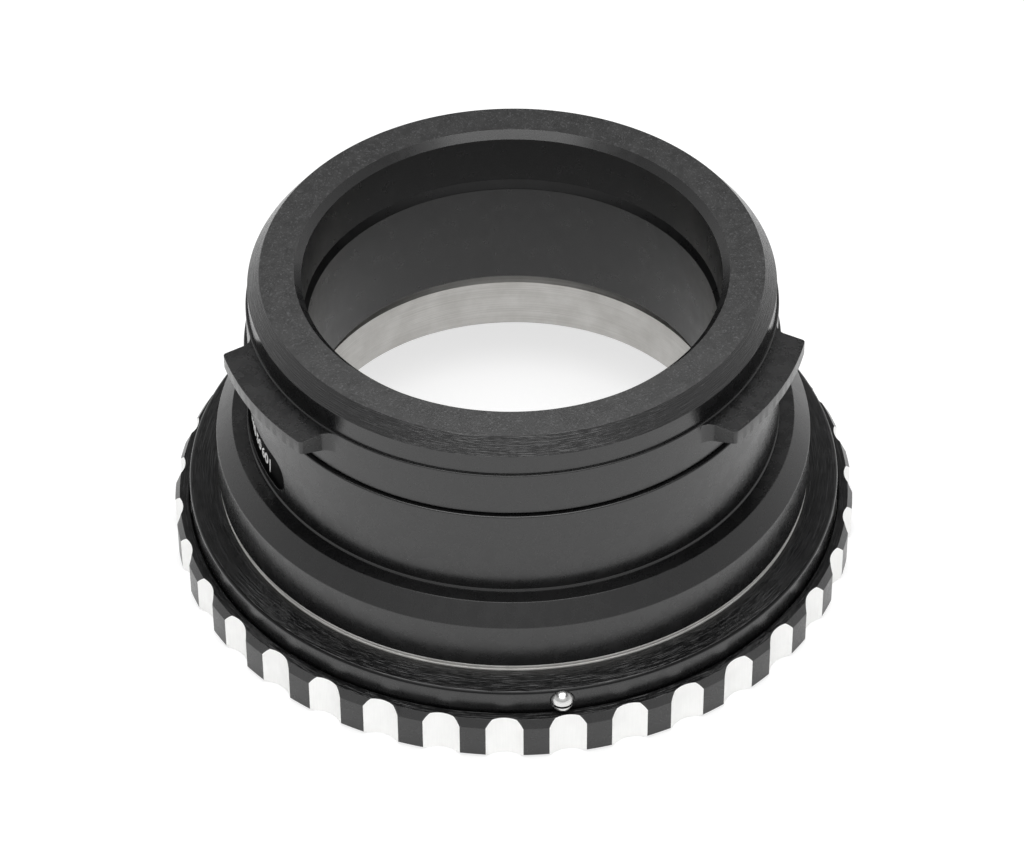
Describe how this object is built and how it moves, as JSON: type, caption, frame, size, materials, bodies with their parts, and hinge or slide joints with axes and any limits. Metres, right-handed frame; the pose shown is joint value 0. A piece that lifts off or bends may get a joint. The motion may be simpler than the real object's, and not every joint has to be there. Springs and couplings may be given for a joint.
{
  "type": "lens mount adapter",
  "caption": "Black stepped adapter with a lugged camera barrel, a bare metal lens seat and a scalloped locking ring that turns to clamp a lens.",
  "frame": {"origin": "on the optical axis, in the plane of the locking ring's lower face, which is the lens side", "axes": "+Z along the optical axis from the lens towards the camera, -Y towards the index screw's side, +X to the right of the picture"},
  "size_m": [0.079, 0.079, 0.0381],
  "materials": {
    "black_anodised": "satin black anodising over fine turning marks",
    "matt_black": "matt black anodising",
    "ring_black": "satin black anodising with scallops milled bare",
    "bare_steel": "bare turned metal",
    "screw_steel": "bright steel",
    "slip_plastic": "natural slip plastic"
  },
  "bodies": {
    "adapter_body": {"bayonet_barrel": "black_anodised", "inner_liner": "matt_black", "body_tube": "black_anodised", "mount_collar": "black_anodised", "lens_seat_ring": "bare_steel", "register_shim": "bare_steel", "mount_flange": "black_anodised", "barrel_lock_screws": "screw_steel", "flange_screws": "screw_steel", "lens_index_pin": "screw_steel", "index_screw": "screw_steel", "glide_washer": "slip_plastic", "ring_stop_pin": "screw_steel", "retaining_wire": "screw_steel"},
    "lock_ring": {"locking_ring": "ring_black"}
  },
  "joints": [
    {"name": "ring_turn", "type": "hinge", "parent": "adapter_body", "child": "lock_ring", "pos_m": [0, 0, 0.0027], "axis": [0, 0, 1], "range_deg": [0, 60]}
  ]
}
